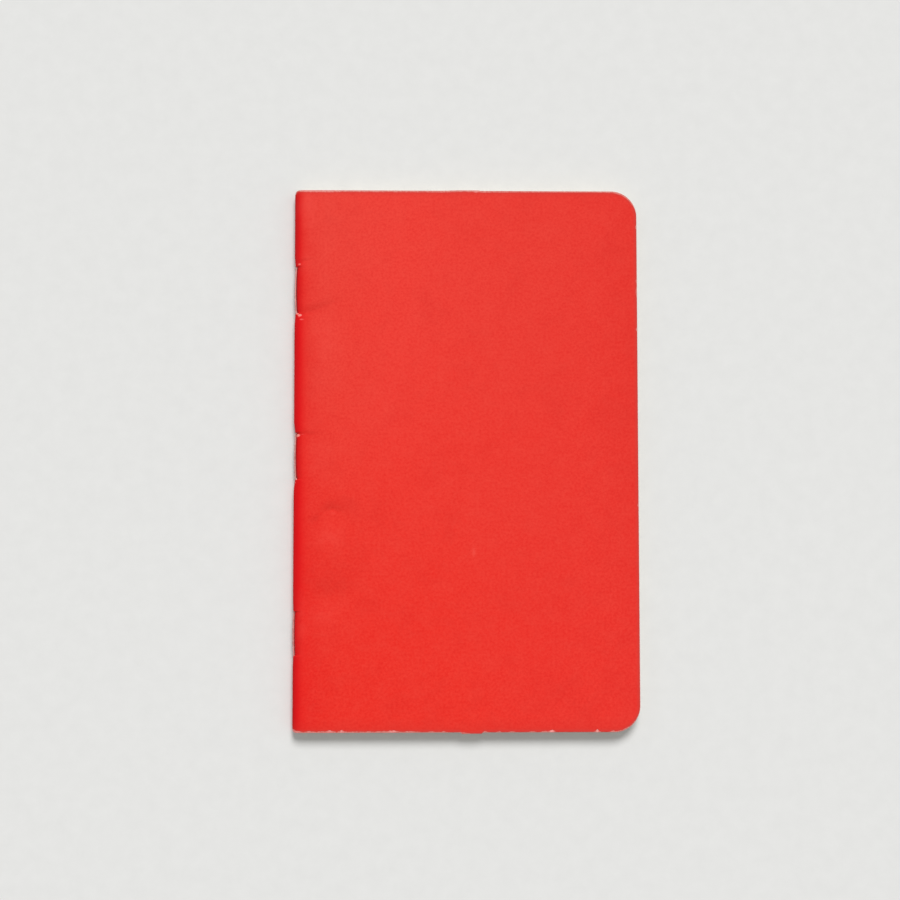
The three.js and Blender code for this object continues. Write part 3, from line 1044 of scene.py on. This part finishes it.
def trimmed_sheet():
    """The flat plan of a leaf, cut to the shape of the book, in two layers that its tree folds."""
    rows = list(np.arange(-62.0, 62.01, 1.6))
    rows += both_ends(corner_distances(range(19))) + both_ends((0.6, 1.2, 2.0, 3.0))
    rows = thinned(rows, EDGE_STEP, HALF_PAGE)
    columns = list(np.arange(FOLD_CENTRE, 18.0, 1.5)) + list(np.arange(20.0, PAGE_WIDTH, 3.0))
    columns += [NIB_FROM, NIB_FROM + NIB_RAMP, NIB_TO - NIB_RAMP, NIB_TO]
    columns += [38.0, 41.0, HEAD_STEP_FROM, HEAD_STEP_TO, PAGE_WIDTH]
    columns = thinned(columns, 0.3, PAGE_WIDTH)
    flat_u = fitted_columns(rows, columns)
    turns = np.linspace(0, 1, 9)[:-1]
    u = np.hstack([np.full((len(rows), len(turns)), FOLD_CENTRE), flat_u])
    v = np.repeat(rows[:, None], u.shape[1], axis=1)
    turn = np.hstack([np.repeat(turns[None, :], len(rows), axis=0), np.ones_like(flat_u)])
    points = placed(u, moved_by_nick(u, v), np.zeros_like(u))
    quads, _ = closed_faces(*u.shape)
    mesh = bpy.data.meshes.new("trimmed_sheet")
    mesh.from_pydata(np.vstack([points, points]).tolist(), [], quads.tolist())
    write_attribute(mesh, "turn", np.tile(turn.ravel(), 2))
    write_attribute(mesh, "run", np.tile((u - FOLD_CENTRE).ravel() / 1000, 2))
    write_attribute(mesh, "dip", np.tile((dips(u, v) * turn).ravel() / 1000, 2))
    write_attribute(mesh, "inner", np.repeat([0.0, 1.0], u.size))
    return mesh


def add_leaves():
    """Twelve sheets, folded once each: the leaf above the fold line and the leaf below it."""
    tree = folded_leaf_tree()
    finish = ruled_paper()
    for number in range(1, 2 * SHEETS + 1):
        above = number <= SHEETS
        ring = SHEETS - number if above else number - SHEETS - 1
        name = f"leaf_{number:02d}"
        mesh = grown(f"{name}_paper", trimmed_sheet(), tree, {
            "Fold radius": (FIRST_FOLD + ring * SHEET_PITCH) / 1000,
            "Paper thickness": PAPER / 1000,
            "Fore height": (FORE_FIRST + ring * FORE_PITCH) / 1000,
            "Fold centre": FOLD_CENTRE / 1000,
            "Fold line X": FOLD_LINE_X / 1000,
            "Fold line Z": HALF_THICKNESS / 1000,
            "Leaf length": (PAGE_WIDTH - FOLD_CENTRE) / 1000,
            "Side": 1.0 if above else -1.0,
            "Trim scatter": TRIM_SCATTER / 1000,
            "Page wave": PAGE_WAVE / 1000,
            "Dip share": ring / SHEETS if above else 0.0,
            "Seed": number,
            "Finish": finish,
        })
        mesh.shade_smooth()
        mesh.set_sharp_from_angle(angle=math.radians(PAPER_SHARP))
        shown(f"{name}_paper", mesh, name, name)


# The staples

def staple_line(staple):
    """A staple's line before its corners are rounded: point, leg, crown, leg, point."""
    leg = CROWN / 2 - WIRE / 2
    crown = staple.depth + WIRE / 2
    corners = [
        (FOLD_CENTRE, leg - POINT), (FOLD_CENTRE, leg), (crown, leg),
        (crown, -leg), (FOLD_CENTRE, -leg), (FOLD_CENTRE, POINT - leg),
    ]
    mesh = bpy.data.meshes.new("staple_line")
    points = [
        ((u + FOLD_LINE_X) / 1000, (staple.middle + v) / 1000, HALF_THICKNESS / 1000) for u, v in corners
    ]
    mesh.from_pydata(points, [(i, i + 1) for i in range(5)], [])
    return mesh


def add_staples():
    """Three wire staples, clinched in the centre fold."""
    tree = bent_wire_tree()
    finish = staple_wire()
    for place, staple in STAPLES.items():
        mesh = grown(f"wire_{place}", staple_line(staple), tree, {
            "Wire radius": WIRE / 2000,
            "Bend radius": WIRE_BEND / 1000,
            "Crown middle": staple.middle / 1000,
            "Crown reach": (CROWN / 2 - WIRE / 2 - WIRE_BEND) / 1000,
            "Crown bow": staple.bow / 1000,
            "Crown depth": (staple.depth + WIRE / 2 + FOLD_LINE_X) / 1000,
            "Finish": finish,
        })
        shown(f"wire_{place}", mesh, "leaf_13", f"staple_{place}")


# The cover

def add_covers():
    """The two halves of the folded card; only the front one is worn and has painted patches of light and
    shade.
    """
    red, white = red_card(), white_card()
    halves = (("front_cover", 1, front_relief, 1.0), ("back_cover", -1, back_relief, 0.0))
    for name, side, relief, worn_and_shaded in halves:
        mesh = cover_mesh(f"{name}_card", side, relief, worn_and_shaded)
        mesh.materials.append(red)
        mesh.materials.append(white)
        shown(f"{name}_card", mesh, name, name)


# Floor, light and camera

def add_floor():
    """A plain pale floor."""
    mesh = bpy.data.meshes.new("floor")
    sides = ((-1, -1), (1, -1), (1, 1), (-1, 1))
    corners = [(x * FLOOR_HALF, y * FLOOR_HALF, -FLOOR_DROP) for x, y in sides]
    mesh.from_pydata(corners, [], [(0, 1, 2, 3)])
    mesh.materials.append(floor_paper())
    floor = bpy.data.objects.new("floor", mesh)
    bpy.context.scene.collection.objects.link(floor)


def add_light():
    """Even light from all round, and one wide soft light from beyond the head of the book."""
    world = bpy.data.worlds.new("studio")
    bpy.context.scene.world = world
    world.use_nodes = True
    sky = Network(world.node_tree)
    background = sky.nodes["Background"]
    background.inputs["Color"].default_value = (1.0, 1.0, 1.0, 1.0)
    rays = sky.put("ShaderNodeLightPath").outputs
    seen = sky.maths("MAXIMUM", rays["Is Camera Ray"], rays["Is Glossy Ray"])
    seen = sky.maths("MAXIMUM", seen, rays["Is Transmission Ray"])
    sky.feed(background.inputs["Strength"], sky.ramp(seen, 0.0, 1.0, AROUND, AROUND_SEEN))

    height = math.radians(WINDOW_HEIGHT)
    lamp = bpy.data.lights.new("window", "SUN")
    lamp.energy = WINDOW_GAIN * (1.0 - AROUND) * math.pi / math.sin(height)
    lamp.angle = math.radians(WINDOW_BREADTH)
    holder = bpy.data.objects.new("window", lamp)
    flat = math.cos(height)
    towards = Vector((WINDOW_SIDE * flat, WINDOW_HEAD * flat, math.sin(height)))
    holder.rotation_euler = towards.to_track_quat("Z", "Y").to_euler()
    bpy.context.scene.collection.objects.link(holder)


def add_camera():
    """The photograph's own place: almost straight above, a little towards the foot and the spine."""
    camera = bpy.data.cameras.new("camera")
    camera.lens = CAMERA_LENS
    camera.sensor_width = 36.0
    camera.clip_start = 0.01
    camera.clip_end = 100.0
    holder = bpy.data.objects.new("camera", camera)
    holder.location = CAMERA_PLACE
    holder.rotation_euler = [math.radians(angle) for angle in CAMERA_TURN]
    bpy.context.scene.collection.objects.link(holder)
    bpy.context.scene.camera = holder


add_covers()
add_leaves()
add_staples()
add_floor()
add_light()
add_camera()
bpy.context.scene.view_settings.view_transform = "Standard"
